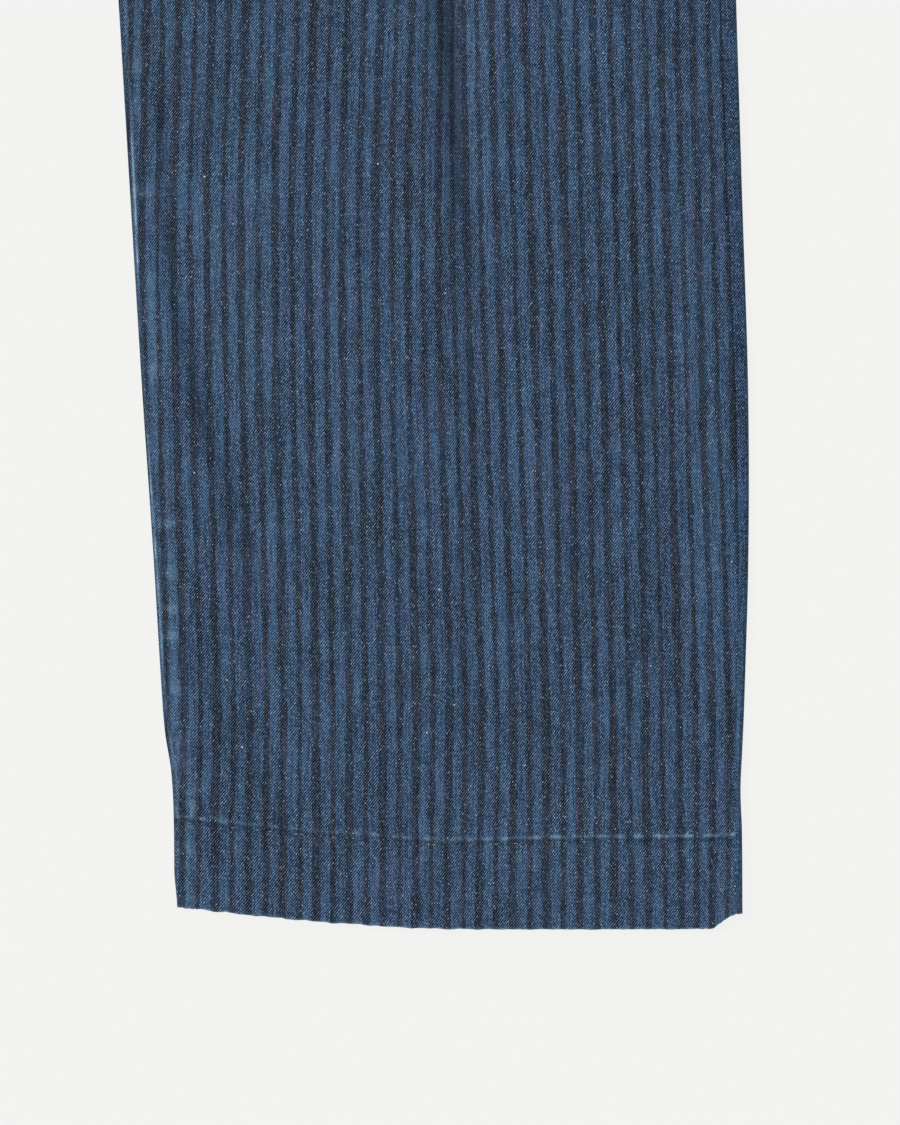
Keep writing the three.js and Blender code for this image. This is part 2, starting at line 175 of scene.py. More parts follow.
def fold_height(fold, x, v):
    dx, dv = fold.x1 - fold.x0, fold.v1 - fold.v0
    length = math.hypot(dx, dv)
    along = ((x - fold.x0) * dx + (v - fold.v0) * dv) / length**2
    if not 0 < along < 1:
        return 0.0
    off = abs((x - fold.x0) * dv - (v - fold.v0) * dx) / length
    strength = ramp(0, fold.strongest, along) * ramp(1, fold.strongest, along)
    return fold.height * strength * math.exp(-((off / fold.width) ** 2))


folds = {side: records(rows, FOLD_COLUMNS) for side, rows in FOLDS.items()}


def front_height(x, row, side):
    """Height of the front's face on the solid's own form."""
    s = min(1.0, max(0.0, (x - row.inner) / (row.outer - row.inner)))
    crown = lerp(1 - (2 * s - 1) ** 4, 1 - s**4, row.bodice)
    flat = min(1.0, 8 * s + row.bodice) * min(1.0, 8 * (1 - s))
    folded = sum(fold_height(f, x, row.v) for f in folds[side]) if flat > 0 else 0
    return row.edge + row.crown * crown + flat * folded


def fly_width(v):
    """How far the fly's facing reaches from the centre, on a curve at its lower end."""
    return FLY_WIDTH * math.sqrt(ramp(FLY_END - 30, FLY_END + 45, v))


def fly_height(x, v, side):
    """The left front rises over its facing, and the right front dips under the left."""
    lap = ramp(FLY_END - 24, FLY_END - 5, v)
    if side == "right":
        return -1.0 * lap * ramp(24, 10, x)
    width = fly_width(v)
    return 0.5 * lap * ramp(width + 10, width - 6, x)


def length_at(x, row, waist_shift):
    """Where a point lies along the garment, with the hem's lift and the waist's curve."""
    s = min(1.0, max(0.0, (x - row.inner) / (row.outer - row.inner)))
    hem = through(HEM_LIFT, HEM_LIFT_COLUMNS, s).lift * (1 - ramp(HEM_DEPTH, 230, row.v))
    corner = 5.6 * ramp(0.94, 0.99, s) * (1 - ramp(0, 16, row.v))
    return row.v + hem + corner + waist_shift * (1 - min(1.0, (x / HALF_WAIST) ** 2)) * row.waist


def spot(x, y, z, side="left"):
    """A place in the frame, in metres, from millimetres on the left half, mirrored for the right."""
    return Vector((x if side == "left" else -x, y - GARMENT_LENGTH / 2, z)) * MM


def pocket_mouth(v):
    """Where a pocket's slanted mouth crosses a height."""
    return lerp(leg_at(POCKET_END).outseam, POCKET_INNER, (v - POCKET_END) / (WAIST_SEAM - POCKET_END))


def wave(x, y, size, seed=0.0):
    return noise.noise(Vector((x / size, y / size, seed)))


# Creases, as lines from point to point with the width of their slope and their height. Shade is
# painted into the hollow of a crease, and the top of a ridge is made paler.
CREASE_COLUMNS = "x0 v0 x1 v1 width height dark pale".split()
CREASES = {
    "left": [
        (164, 520, 181.3, 270, 3.6, -1.6, 0.76, 0.0),
        (172.7, 345, 195.4, 225, 4.0, -0.3, 0.2, 0.0),
        (176, 470, 198, 300, 6.0, 0.5, 0.0, 0.1),
        (186, 300, 181, 60, 4.5, -0.35, 0.14, 0.0),
        (50, 372, 58, 250, 3.2, -0.8, 0.36, 0.0),
        (55, 275, 73, 200, 3.4, -0.9, 0.42, 0.0),
        (66, 235, 108, 92, 6.5, -0.6, 0.22, 0.0),
        (70, 100, 112, 24, 12.0, -0.3, 0.14, 0.0),
        (60, 130, 84, 62, 5.0, -0.4, 0.14, 0.0),
        (62, 330, 80, 215, 7.0, 0.4, 0.0, 0.2),
        (82, 350, 94, 190, 11.0, 0.3, 0.0, 0.2),
        (122, 350, 136, 100, 11.0, 0.5, 0.0, 0.13),
        (272, 330, 276, 190, 3.5, 0.5, 0.0, 0.12),
        (262, 300, 264, 170, 6.0, -0.4, 0.1, 0.0),
        (206, 230, 226, 110, 6.0, 0.4, 0.0, 0.2),
        (214, 235, 236, 105, 6.0, -0.4, 0.12, 0.0),
        (248, 150, 250, 55, 8.0, -0.4, 0.12, 0.0),
        (284, 250, 288, 70, 4.0, 0.35, 0.0, 0.08),
        (262, 200, 266, 50, 12.0, -0.3, 0.12, 0.0),
        (104, 190, 92, 130, 5.0, 0.3, 0.0, 0.15),
        (200, 110, 150, 75, 7.0, -0.3, 0.08, 0.0),
        (40, 450, 90, 600, 7.0, -0.6, 0.15, 0.0),
        (20, 640, 120, 690, 5.0, -0.7, 0.22, 0.0),
        (14, 700, 150, 716, 5.5, -0.6, 0.2, 0.0),
        (10, 745, 120, 760, 5.0, -0.5, 0.18, 0.0),
        (60, 668, 190, 700, 5.0, 0.4, 0.0, 0.25),
        (230, 470, 262, 640, 6.0, -0.5, 0.15, 0.0),
        (150, 800, 235, 770, 6.0, -0.5, 0.14, 0.0),
        (70, 880, 150, 935, 7.0, -0.4, 0.1, 0.0),
    ],
    "right": [
        (176, 560, 181, 300, 5.5, -1.3, 0.5, 0.0),
        (166, 500, 172, 330, 7.0, 0.5, 0.0, 0.22),
        (182, 310, 188, 90, 5.0, -0.4, 0.14, 0.0),
        (48, 330, 66, 210, 4.0, -0.7, 0.25, 0.0),
        (62, 240, 92, 120, 6.5, -0.5, 0.16, 0.0),
        (58, 300, 84, 170, 7.0, 0.4, 0.0, 0.2),
        (126, 330, 120, 80, 15.0, 0.5, 0.0, 0.2),
        (256, 350, 270, 220, 4.0, 0.5, 0.0, 0.3),
        (232, 250, 246, 110, 6.0, -0.45, 0.14, 0.0),
        (284, 210, 286, 80, 4.0, 0.35, 0.0, 0.3),
        (210, 120, 140, 88, 7.0, -0.3, 0.08, 0.0),
        (30, 520, 74, 640, 7.0, -0.6, 0.15, 0.0),
        (16, 655, 110, 672, 5.0, -0.7, 0.22, 0.0),
        (12, 712, 170, 744, 5.5, -0.6, 0.2, 0.0),
        (14, 760, 96, 800, 5.0, -0.5, 0.16, 0.0),
        (50, 690, 180, 712, 5.0, 0.4, 0.0, 0.25),
        (236, 500, 250, 620, 6.0, -0.5, 0.15, 0.0),
        (160, 820, 226, 776, 6.0, -0.5, 0.14, 0.0),
        (84, 872, 140, 940, 7.0, -0.4, 0.1, 0.0),
    ],
    "back": [
        (120, 90, 150, 380, 9.0, -0.5, 0.2, 0.0),
        (210, 150, 232, 360, 8.0, -0.45, 0.18, 0.0),
        (60, 360, 190, 440, 9.0, -0.6, 0.22, 0.0),
        (70, 400, 210, 470, 8.0, -0.5, 0.2, 0.0),
        (90, 470, 230, 452, 8.0, -0.4, 0.16, 0.0),
        (20, 660, 160, 640, 8.0, -0.6, 0.22, 0.0),
        (30, 700, 190, 712, 8.0, -0.5, 0.2, 0.0),
        (150, 560, 240, 700, 9.0, -0.4, 0.16, 0.0),
        (60, 820, 200, 800, 9.0, -0.4, 0.14, 0.0),
    ],
}
creases = {place: records(rows, CREASE_COLUMNS) for place, rows in CREASES.items()}


def crease_form(place, x, v):
    """Height, painted shade and paleness that the creases give a point."""
    height = dark = pale = 0.0
    for crease in creases[place]:
        dx, dv = crease.x1 - crease.x0, crease.v1 - crease.v0
        length = math.hypot(dx, dv)
        off = ((x - crease.x0) * dv - (v - crease.v0) * dx) / length
        if abs(off) > 2.6 * crease.width:
            continue
        along = ((x - crease.x0) * dx + (v - crease.v0) * dv) / length**2
        if 0 < along < 1:
            off += 0.6 * crease.width * noise.noise(Vector((along * length / 45, crease.x0, crease.v0)))
            form = bell(off, crease.width) * ramp(0, 0.3, along) * ramp(1, 0.7, along)
            height += crease.height * form
            # painted shade in the hollow of the crease
            dark += crease.dark * form
            pale += crease.pale * form
    return height, dark, pale


# The worn ridge along the inseam: how far it lies from the edge and how strongly it is worn
RIDGE_COLUMNS = ["v", "inset", "worn"]
RIDGE = [
    (0, 2.4, 0.3), (58, 2.3, 0.5), (88, 1.7, 0.8), (139, 1.35, 1.15), (202, 1.1, 0.95), (257, 1.35, 0.8),
    (291, 1.85, 1.4), (325, 2.3, 1.5), (355, 2.7, 0.8), (390, 3.1, 0.5), (725, 2.75, 0.5),
]

# Lumps at the left leg's inseam, where the hem's stitching has drawn the cloth up
PUCKER_COLUMNS = "x v across along high rubbed".split()
PUCKERS = [
    (65.5, 43.5, 1.8, 4.0, 0.8, 0.6),
    (58.0, 41.5, 1.8, 2.4, 0.5, 0.6),
    (76.0, 40.5, 3.0, 2.2, 0.4, 0.5),
    (82.5, 28.0, 2.0, 6.0, 0.3, 0.4),
    (63.0, 12.0, 1.2, 8.0, 0.3, 0.3),
]
hem_puckers = records(PUCKERS, PUCKER_COLUMNS)
STITCH_RISE = 36.3


def hem_stitch_v(x):
    """The height of the hem's sewn line, which wanders a little."""
    return STITCH_RISE - 0.8 * bell(x - 172, 22) + 0.8 * ramp(188, 235, x)


def front_relief(x, row, side):
    """Small forms that only show close to: puckers at the seams, the hem's stitched line and turned
    edge, and the cloth's slight unevenness. Returns a height, the wear, and the shade painted in
    grooves and creases."""
    v = row.v
    seed = 3.0 if side == "left" else 11.0
    height, groove, wear = crease_form(side, x, v)
    free = ramp(0, 9, row.outseam - x) if v < POCKET_END + 2 else 1.0
    height = (height + 0.35 * wave(x, v, 46, seed) + 0.16 * wave(x, v * 0.5, 13, seed + 5)) * free

    # the inseam: sewn and turned at the very edge, with its allowances puckering the cloth beside it
    from_inseam = x - row.inner
    legs = 1 - ramp(INSEAM - 20, INSEAM + 10, v)
    if legs and from_inseam < 40:
        beat = wave(0, v, 7.5, seed + 1) + 0.5 * wave(0, v, 17, seed + 2)
        beat += 0.8 * wave(0.5, v, 3.0, seed + 6) * ramp(230, 130, v)
        puckers = legs * bell(from_inseam - 6.4, 3.4)
        height += puckers * 0.62 * beat * (0.7 + 0.6 * ramp(180, 60, v))
        wear += puckers * max(0.0, beat) * lerp(0.8, 1.1, ramp(230, 130, v))
        ridge = through(RIDGE, RIDGE_COLUMNS, v)
        crest = bell(from_inseam - ridge.inset, 0.5) * ridge.worn * (0.85 + 0.6 * wave(0, v, 9, seed + 4))
        height += legs * 0.22 * crest
        rubbed = lerp(0.22, 0.1, ramp(230, 320, v)) * lerp(0.35, 1.0, ramp(36, 60, v))
        rubbed += 0.1 * ramp(345, 390, v)
        wear += legs * (1.15 * crest + rubbed * bell(from_inseam - 6, 4.5))
        # painted shade on the outer part of the turned edge and in a furrow behind the worn ridge
        behind = 0.2 * bell(from_inseam - ridge.inset - 1.2, 0.6)
        groove += legs * (0.6 * ramp(ridge.inset - 0.3, 0, from_inseam) + behind)

    # the centre seam, from the crotch up to the fly
    if v > INSEAM and x < 6:
        joined = ramp(INSEAM, INSEAM + CROTCH_EASE, v) * ramp(FLY_END + 6, FLY_END - 4, v)
        height -= 0.4 * joined * ramp(1.0, 0, x)
        # painted shade in the seam's furrow
        groove += 0.6 * joined * ramp(0.9, 0, x)

    # the outseam: allowances lie under the front's edge, which ends in a groove
    pocket = ramp(POCKET_END - 6, POCKET_END + 2, v)
    from_outseam = row.outseam - x
    if from_outseam < 20 and pocket < 1:
        deep = lerp(0.1, 1.0, ramp(90, 240, v)) * (1 - pocket)
        bulk = 0.35 * ramp(0, 4, from_outseam) * ramp(16, 12, from_outseam)
        height += (bulk - 0.22 * ramp(1.0, 0, from_outseam)) * deep
        # painted shade in the groove at the front's edge and along the edge of the allowances
        groove += (0.08 * ramp(0.9, 0, from_outseam) + 0.1 * bell(from_outseam - 14, 1.6)) * deep

    # the pocket mouth: a turned edge with two sewn lines
    from_mouth = (pocket_mouth(v) - x) * MOUTH_SLANT if pocket else 99
    if from_mouth < 14:
        sewn = sum(bell(from_mouth - inset, 0.7) for inset in MOUTH_SEWN)
        height += pocket * (0.4 * ramp(10.5, 8.6, from_mouth) - 0.3 * sewn - 0.5 * ramp(1.0, 0, from_mouth))
        wear += pocket * (0.5 * bell(from_mouth - 0.6, 0.8) + 0.2 * bell(from_mouth - 5.4, 2))
        # painted shade in the sunk sewn lines
        groove += pocket * 0.3 * sewn

    # the hem: a sewn line sunk in the cloth, and over it the ridge of the turned-up edge, roped
    above_stitches = v - hem_stitch_v(x)
    if above_stitches < 14:
        stitched = bell(above_stitches, 0.9)
        turned = bell(above_stitches - 2.3, 0.75)
        rope = math.sin((x * 0.9 + v * 0.35) * 2 * math.pi / 8.3 + 2.2 * wave(x, 0, 30, seed + 3))
        height += 0.34 * turned - 0.42 * stitched + 0.2 * rope * bell(v - 38, 5.5)
        wear += turned * (0.62 + 0.5 * rope) * lerp(0.8, 1.6, ramp(150, 225, x))
        wear += 0.12 * ramp(1.5, 0.4, v) + 0.05 * ramp(3, -2, above_stitches)
        # painted shade in the sunk sewn line
        groove += 0.4 * stitched * (1 - 0.5 * rope)
        frayed = 0.18 * turned * max(0.0, rope) * ramp(150, 225, x) + 0.95 * ramp(1.1, 0.3, v)
        wear = min(1.0, wear) + frayed
    if side == "left" and x < 95 and v < 60:
        for pucker in hem_puckers:
            lump = bell(x - pucker.x, pucker.across) * bell(v - pucker.v, pucker.along)
            height += pucker.high * lump
            wear += pucker.rubbed * lump
    return height, min(1.9, wear), min(1.0, groove)


def front_face(x, row, side):
    """A point on the front's face, with its wear and the painted shade of any groove."""
    height, wear, groove = front_relief(x, row, side)
    z = front_height(x, row, side) + height + (fly_height(x, row.v, side) if row.v > INSEAM - 1 else 0)
    return x, length_at(x, row, -FRONT_DIP), z, wear, groove


# How far the stripes have slipped sideways where the cloth is eased, by place across the left leg
SLIP_COLUMNS = ["x", "shift"]
SLIP = [
    (33, 1.9), (40, 1.3), (48, 0.8), (61, 0.4), (82, 0.6), (104, 1.0), (125, 1.35), (146, 1.3),
    (167, 0.4), (188, 0.0), (209, 0.8), (231, 1.2), (252, 1.9), (273, 1.4), (292, 0.0), (300, 0.0),
]


def cloth_u(x, row, side):
    """Distance across the cloth, which runs on inside the main fold."""
    if side == "right":
        return x + 2.6
    v = row.v
    fold = folds["left"][0]
    centre = lerp(fold.x0, fold.x1, (v - fold.v0) / (fold.v1 - fold.v0))
    inside = 1 / (1 + math.exp(-(x - centre - 1.5) / 5.5))
    eased = (ramp(90, 260, v) + 0.9 * ramp(70, 10, v)) * ramp(640, 420, v)
    return x - row.sway + row.tuck * inside - through(SLIP, SLIP_COLUMNS, x).shift * eased


def cloth_grid(columns, heights):
    """A grid of cloth, and the column and height of each of its vertices."""
    bm = bmesh.new()
    bm.verts.layers.float.new("wear")
    bm.verts.layers.float.new("groove")
    bm.loops.layers.uv.new("cloth")
    bmesh.ops.create_grid(bm, x_segments=columns, y_segments=len(heights) - 1, size=0.5)
    places = []
    for vert in bm.verts:
        column = round((vert.co.x + 0.5) * columns)
        level = round((vert.co.y + 0.5) * (len(heights) - 1))
        places.append((vert, column, level))
    return bm, places


def shape_cloth(bm, places, point_of, flip):
    """Moves a grid's vertices onto a piece's form and keeps their place in the cloth, their wear and
    painted highlight, and the shade painted in any groove."""
    wear = bm.verts.layers.float["wear"]
    groove = bm.verts.layers.float["groove"]
    cloth = bm.loops.layers.uv["cloth"]
    at = {}
    for vert, column, level in places:
        found = point_of(column, level)
        vert.co = found.co
        vert[wear] = found.wear
        vert[groove] = found.groove
        at[vert] = (found.u, found.v, found.thickness)
    for face in bm.faces:
        for loop in face.loops:
            loop[cloth].uv = at[loop.vert][:2]
        face.smooth = True
    # sides that meet another piece keep a crisp shade, so no dark line is drawn between the two
    last = max(column for vert, column, level in places)
    sides = {vert for vert, column, level in places if column in (0, last)}
    for edge in bm.edges:
        edge.smooth = not (edge.is_boundary and sides.issuperset(edge.verts))
    thickness = [at[vert][2] for vert in bm.verts]
    if flip:
        bmesh.ops.reverse_faces(bm, faces=bm.faces[:])
    return thickness


def to_object(name, bm):
    """An object with the form of bm, which is used up."""
    mesh = bpy.data.meshes.new(name)
    bm.to_mesh(mesh)
    bm.free()
    made = bpy.data.objects.new(name, mesh)
    bpy.context.collection.objects.link(made)
    return made


def cloth_piece(name, bm, thickness, wall):
    """A finished piece of cloth: its wall is grown inwards from the outer face."""
    piece = to_object(name, bm)
    group = piece.vertex_groups.new(name="wall")
    for i, value in enumerate(thickness):
        group.add([i], min(1.0, value / wall), "REPLACE")
    shell = piece.modifiers.new("wall", "SOLIDIFY")
    shell.thickness = wall * MM
    shell.offset = -1
    shell.use_rim = True
    shell.vertex_group = "wall"
    return piece


def levels(*parts):
    """Heights from parts of (start, end, step), each with its start and the last with its end."""
    found = []
    for low, high, step in parts:
        count = max(1, round((high - low) / step))
        found += [lerp(low, high, i / count) for i in range(count)]
    return found + [parts[-1][1]]


HEM_ROUND = 1.0
HEM_FOLD = [(0, HEM_ROUND, 0.25), (HEM_ROUND, 4, 1.0)]


def wall_at(v):
    """Thickness of a leg panel: more where the hem is turned up, and rounded at its lower edge."""
    if v < HEM_ROUND:
        return HEM_WALL * (0.35 + 0.65 * math.sqrt(1 - (1 - v / HEM_ROUND) ** 2))
    return HEM_WALL if v < HEM_DEPTH else CLOTH


FRONT_LEVELS = levels(*HEM_FOLD, (4, 33, 2.0), (33, 43, 0.5), (43, 400, 2.0), (400, PANEL_TOP, 5.0))
RIM_COLUMNS = 6
FACE_COLUMNS = 130


def front_panel(side):
    rows = [leg_at(v) for v in FRONT_LEVELS]
    bm, places = cloth_grid(RIM_COLUMNS + FACE_COLUMNS, FRONT_LEVELS)

    def point_of(column, level):
        row = rows[level]
        v = row.v
        radius = (row.edge - SEAM_GAP) / 2
        opened = opened_at(v)
        fly_edge = -FLY_LAP * ramp(FLY_END - 4, FLY_END + 6, v) if side == "left" else 0
        angle = math.pi / 2 * min(1.0, column / RIM_COLUMNS)
        round_x = row.inner + radius * (1 - math.cos(angle))
        centre_x = TOUCH + fly_edge + 1.5 * min(1.0, column / RIM_COLUMNS)
        x = lerp(round_x, centre_x, opened)
        flat_x = lerp(row.inner + radius - radius * (math.pi / 2 - angle), centre_x, opened)
        last = min(row.outseam, pocket_mouth(v))
        if column > RIM_COLUMNS:
            t = (column - RIM_COLUMNS) / FACE_COLUMNS
            t = lerp(t, 0.5 - 0.5 * math.cos(math.pi * t), 0.72)
            x = flat_x = lerp(x, last, t)
        x, y, top, wear, groove = front_face(x, row, side)
        height = top - front_height(x, row, side)
        round_z = radius + SEAM_GAP + (radius + height) * math.sin(angle)
        z = top if column > RIM_COLUMNS else lerp(round_z, top, opened)
        wall = wall_at(v)
        if v < HEM_ROUND:
            z -= (HEM_WALL - wall) / 2 * math.sin(angle)
        y += (0.5 * wave(flat_x, 0, 5.5, 8.0) + 0.35 * wave(flat_x, 0, 1.7, 9.0)) * ramp(3, 0, v)
        co, u = spot(x, y, z, side), cloth_u(flat_x, row, side)
        return SimpleNamespace(co=co, u=u, v=v, wear=wear, groove=groove, thickness=wall)

    thickness = shape_cloth(bm, places, point_of, side == "right")
    return cloth_piece(f"front_panel_{side}", bm, thickness, HEM_WALL)


class Dye:
    """A socket of a material's nodes, with arithmetic on it."""

    def __init__(self, tree, socket):
        self.tree = tree
        self.socket = socket

    def node(self, kind, settings, values, output=0):
        """A new node with its settings and its inputs, as numbers or as links, and one output."""
        made = self.tree.nodes.new(kind)
        for key, value in settings.items():
            setattr(made, key, value)
        for key, value in values.items():
            target = made.inputs[key]
            if isinstance(value, Dye):
                self.tree.links.new(value.socket, target)
            else:
                target.default_value = value
        return Dye(self.tree, None if output is None else made.outputs[output])

    def also(self, output):
        """Another output of the same node."""
        return Dye(self.tree, self.socket.node.outputs[output])

    def math(self, operation, *values):
        return self.node("ShaderNodeMath", {"operation": operation}, dict(enumerate(values)))

    def __add__(self, other):
        return self.math("ADD", self, other)

    __radd__ = __add__

    def __sub__(self, other):
        return self.math("SUBTRACT", self, other)

    def __rsub__(self, other):
        return self.math("SUBTRACT", other, self)

    def __mul__(self, other):
        return self.math("MULTIPLY", self, other)

    __rmul__ = __mul__

    def __truediv__(self, other):
        return self.math("DIVIDE", self, other)

    def __pow__(self, other):
        return self.math("POWER", self, other)

    def __mod__(self, other):
        return self.math("FLOORED_MODULO", self, other)

    def floor(self):
        return self.math("FLOOR", self)

    def fraction(self):
        return self.math("FRACT", self)

    def size(self):
        return self.math("ABSOLUTE", self)

    def above(self, low, high):
        """0 below low, 1 above high, smooth between them. low may be the larger one."""
        return self.node(
            "ShaderNodeMapRange",
            {"interpolation_type": "SMOOTHSTEP"},
            {"Value": self, "From Min": low, "From Max": high, "To Min": 0.0, "To Max": 1.0},
        )

    def colour_mix(self, a, b):
        """Colour a where this is 0 and colour b where it is 1."""
        values = {"Factor": self, 6: (*a, 1.0) if isinstance(a, tuple) else a}
        values[7] = (*b, 1.0) if isinstance(b, tuple) else b
        return self.node("ShaderNodeMix", {"data_type": "RGBA"}, values, 2)

    def point(self, x, y, z=0.0):
        return self.node("ShaderNodeCombineXYZ", {}, {"X": x, "Y": y, "Z": z})

    def cloudy(self, x, y, z=0.0, detail=2.0):
        """Soft noise from 0 to 1 whose grains are one unit of x and y across."""
        values = {"Vector": self.point(x, y, z), "Scale": 1.0, "Detail": detail}
        return self.node("ShaderNodeTexNoise", {}, values)

    def chance(self, x, y, z=0.0):
        """A value of its own from 0 to 1 for each whole x and y."""
        return self.node("ShaderNodeTexWhiteNoise", {}, {"Vector": self.point(x, y, z)})


def blank_material(name):
    """A new material without nodes, and what makes them."""
    material = bpy.data.materials.new(name)
    material.use_nodes = True
    material.node_tree.nodes.clear()
    return material, Dye(material.node_tree, None)


def finish_material(dye, values):
    surface = dye.node("ShaderNodeBsdfPrincipled", {}, values)
    dye.node("ShaderNodeOutputMaterial", {}, {"Surface": surface}, None)


# The cloth's repeats in millimetres, the colours of its yarns and of worn places with painted
# highlights, and the colours of shade painted between the yarns and in grooves
STRIPE_PITCH = 7.02
STRIPE_START = 93.9 - 8 * STRIPE_PITCH
WARP = 0.355
WEFT = 0.485
INDIGO_DEEP = (0.001, 0.014, 0.046)
INDIGO_PALE = (0.040, 0.130, 0.270)
VIOLET_PALE = (0.070, 0.098, 0.272)
CHARCOAL_DEEP = (0.001, 0.005, 0.012)
CHARCOAL_PALE = (0.014, 0.044, 0.104)
RUST_PALE = (0.046, 0.041, 0.082)
WORN_AND_HIGHLIT = (0.165, 0.320, 0.460)
BLUE_WEFT = (0.300, 0.408, 0.548)
TAN_WEFT = (0.240, 0.280, 0.330)
PALE_WEFT = (0.460, 0.600, 0.780)
RAW_COTTON = (0.590, 0.640, 0.670)
SHADE_BETWEEN_YARNS = (0.002, 0.005, 0.010)
SHADE_IN_GROOVES = (0.008, 0.012, 0.022)


def striped_denim(name, tone=1.0, seed=0.0, plain=0.0):
    """Right-hand twill, two warps over each weft: indigo ground, dark stripes alternately wide and
    narrow, pale weft flecks along the twill lines, slubs, neps, wear and painted highlights, with
    shade painted between the yarns and in grooves. A plain border this wide may run along its edge."""
    material, dye = blank_material(name)
    cloth = dye.node("ShaderNodeUVMap", {"uv_map": "cloth"}, {})
    place = dye.node("ShaderNodeSeparateXYZ", {}, {"Vector": cloth})
    u, v = place, place.also(1)
    wear = dye.node("ShaderNodeAttribute", {"attribute_name": "wear"}, {}, 2)
    groove = dye.node("ShaderNodeAttribute", {"attribute_name": "groove"}, {}, 2)

    # the weave: ends of warp, picks of weft, and the picks that show between the floats
    warp_end = u / WARP
    pick = v / WEFT
    end_number = warp_end.floor()
    pick_number = pick.floor()
    step = (end_number - pick_number) % 3.0
    under = step.above(0.9, 0.4)
    crossing = dye.chance(end_number, pick_number, seed + 4.0)
    middle = 1 - ((warp_end.fraction() - 0.5).size() * 2) ** 3.0
    fleck = under * middle * (0.33 + crossing ** 2.5 * 1.15)
    # painted shade where the warp dives under the weft
    dive_shade = (step - 2.0).size().above(0.6, 0.4)

    # the stripes: each dark end starts and stops being dark at its own place, and the border has none
    border = u.above(plain + 0.4, plain - 0.4) if plain else 0.0
    ragged = dye.cloudy(end_number * 1.7, v / 9.0, seed + 1.0, 1.0) - 0.5
    wander = dye.cloudy(u / 40.0, v / 60.0, seed + 2.0, 1.0) - 0.5
    count = (u - STRIPE_START + wander * 1.2) / STRIPE_PITCH + 0.5
    wide = count.floor() % 2.0
    off = ((count.fraction() - 0.5) * STRIPE_PITCH).size()
    swell = dye.cloudy(count.floor() * 3.7, v / 60.0, seed + 3.0, 1.0) - 0.5
    half = 1.2 + wide * 0.45 + swell * 1.4 + ragged * 3.3
    stripe = (half - off).above(-0.5, 0.5) * 0.9 * (1 - border)

    # how pale the dye is worn, thread by thread and in patches
    slubs = dye.cloudy(u / 0.7, v / 15.0, seed + 5.0, 2.0) - 0.5
    streak = dye.cloudy(u / 2.4, v / 80.0, seed + 6.0, 2.0) - 0.5
    weft = dye.cloudy(u / 14.0, pick_number * 0.83, seed + 9.0, 1.0) - 0.5
    mottle = dye.cloudy(u / 6.0, v / 16.0, seed + 7.0, 2.0) - 0.5
    cloud = dye.cloudy(u / 30.0, v / 60.0, seed + 14.0, 1.0) - 0.5
    grain = dye.cloudy(u / 0.7, v / 0.8, seed + 8.0, 1.0) - 0.5
    yarn = dye.cloudy(end_number * 1.37, v / 24.0, seed + 15.0, 1.0) - 0.5
    faded = 0.36 - border * v.above(90.0, 230.0) * 0.22 + yarn * 2.2 + slubs * 1.7 + streak * 1.1
    faded = faded + weft + mottle * 1.1 + grain * 2.6 + wear * 0.4 + cloud * 0.85

    violet = dye.cloudy(u / 4.0, v / 40.0, seed + 10.0, 1.0).above(0.45, 0.7)
    pale = (violet * 0.75).colour_mix(INDIGO_PALE, VIOLET_PALE)
    ground = faded.colour_mix(INDIGO_DEEP, pale)
    rust = dye.cloudy(u / 4.0, v / 30.0, seed + 12.0, 1.0).above(0.45, 0.62)
    dark = (faded * 0.85 - 0.02).colour_mix(CHARCOAL_DEEP, rust.colour_mix(CHARCOAL_PALE, RUST_PALE))
    colour = stripe.colour_mix(ground, dark)

    # worn places and painted highlights, painted shade between the yarns, the pale picks,
    # painted shade in grooves and creases, and frayed edges
    lifted = dye.cloudy(u / 0.8, v / 0.8, seed + 11.0, 2.0).above(0.4, 0.58)
    rubbed = wear ** 1.3 * (0.2 + lifted * 0.8)
    # pale where worn, and where a highlight is painted on the roll's outer side
    colour = (rubbed * (0.95 - stripe * 0.78)).colour_mix(colour, WORN_AND_HIGHLIT)
    # painted shade between the yarns, less on worn places
    colour = (dive_shade * (0.56 - rubbed * 0.3)).colour_mix(colour, SHADE_BETWEEN_YARNS)
    pale_pick = stripe.colour_mix(BLUE_WEFT, TAN_WEFT)
    colour = (fleck * (0.95 - stripe * 0.25 - border * 0.25)).colour_mix(colour, pale_pick)
    colour = (crossing.above(0.975, 0.998) * under * 0.8).colour_mix(colour, PALE_WEFT)
    # painted shade in grooves, sunk sewn lines and creases
    colour = (groove * 0.72).colour_mix(colour, SHADE_IN_GROOVES)
    frayed = (wear - 1.0) * dye.cloudy(u / 0.7, v / 0.5, seed + 13.0, 1.0).above(0.38, 0.55)
    colour = frayed.colour_mix(colour, RAW_COTTON)

    # neps: white specks of raw cotton caught in the yarn
    cell = dye.node("ShaderNodeTexVoronoi", {}, {"Vector": dye.point(u / 6.0, v / 6.0, seed), "Scale": 1.0})
    chosen = dye.node("ShaderNodeSeparateColor", {}, {"Color": cell.also(1)})
    nep = (cell - chosen.also(1) * 0.055).above(0.035, 0.012) * chosen.above(0.86, 0.9)
    colour = (nep * 0.85).colour_mix(colour, RAW_COTTON)
    if tone != 1.0:
        colour = dye.node("ShaderNodeVectorMath", {"operation": "SCALE"}, {0: colour, "Scale": tone})

    rib = 1 - ((warp_end.fraction() - 0.5).size() * 2) ** 2.0
    relief = rib * (1 - under * 0.8) * 0.5 + grain * 0.8 + nep * 0.6 + slubs * 0.6
    bump = dye.node("ShaderNodeBump", {}, {"Strength": 0.5, "Distance": 0.0002, "Height": relief})
    values = {"Base Color": colour, "Roughness": 0.92, "Normal": bump, "Specular IOR Level": 0.03}
    finish_material(dye, values)
    return material


def leg_area(share):
    """Flat area of what shows of a leg panel, in square metres."""
    step = 5.0
    rows = [leg_at(step * (i + 0.5)) for i in range(round(WAIST_SEAM / step))]
    return sum(row.outer - row.inner for row in rows) * share * step * MM**2


